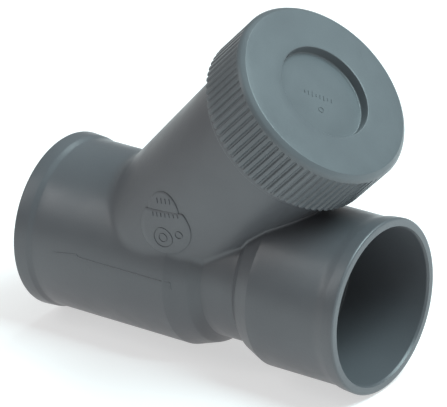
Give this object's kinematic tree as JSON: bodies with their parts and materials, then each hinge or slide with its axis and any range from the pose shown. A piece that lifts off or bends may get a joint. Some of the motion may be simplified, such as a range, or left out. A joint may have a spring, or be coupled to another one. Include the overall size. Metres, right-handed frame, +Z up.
{
  "type": "y strainer",
  "caption": "Moulded pipe strainer with two glued pipe sockets, a leaning branch and a ribbed screw cap that carries a removable tubular screen.",
  "frame": {"origin": "centre of the inlet socket's mouth, on the run's axis", "axes": "+X along the run from the inlet to the outlet, +Z upwards in the plane of the branch, which leans 45 degrees from +X towards +Z, +Y across"},
  "size_m": [0.1849, 0.0926, 0.175],
  "materials": {
    "body_pvc": "semi-gloss moulded dark blue-grey PVC-U",
    "cap_pvc": "semi-gloss moulded blue-grey PVC-U, a little lighter than the body",
    "gasket_rubber": "matt black EPDM",
    "seal_rubber": "matt black EPDM",
    "ring_plastic": "moulded polypropylene",
    "tube_plastic": "perforated moulded polypropylene",
    "mesh_steel": "woven stainless steel wire"
  },
  "bodies": {
    "valve_body": {"y_body": "body_pvc"},
    "cartridge": {"screen_tube": "tube_plastic", "screen_mesh": "mesh_steel", "screen_top_ring": "ring_plastic", "screen_bottom_ring": "ring_plastic", "screen_seat_seal": "seal_rubber"},
    "cap": {"screw_cap": "cap_pvc", "cap_gasket": "gasket_rubber"}
  },
  "joints": [
    {"name": "cap_lift", "type": "slide", "parent": "valve_body", "child": "cartridge", "axis": [0.7071, 0, 0.7071], "range_m": [0, 0.0201]},
    {"name": "cap_turn", "type": "hinge", "parent": "cartridge", "child": "cap", "pos_m": [0.14482, 0, 0.09192], "axis": [0.7071, 0, 0.7071], "range_deg": [0, 1440]}
  ],
  "couplings": [
    {"joint": "cap_lift", "follows": "cap_turn", "m_per_rad": 0.00079577}
  ]
}
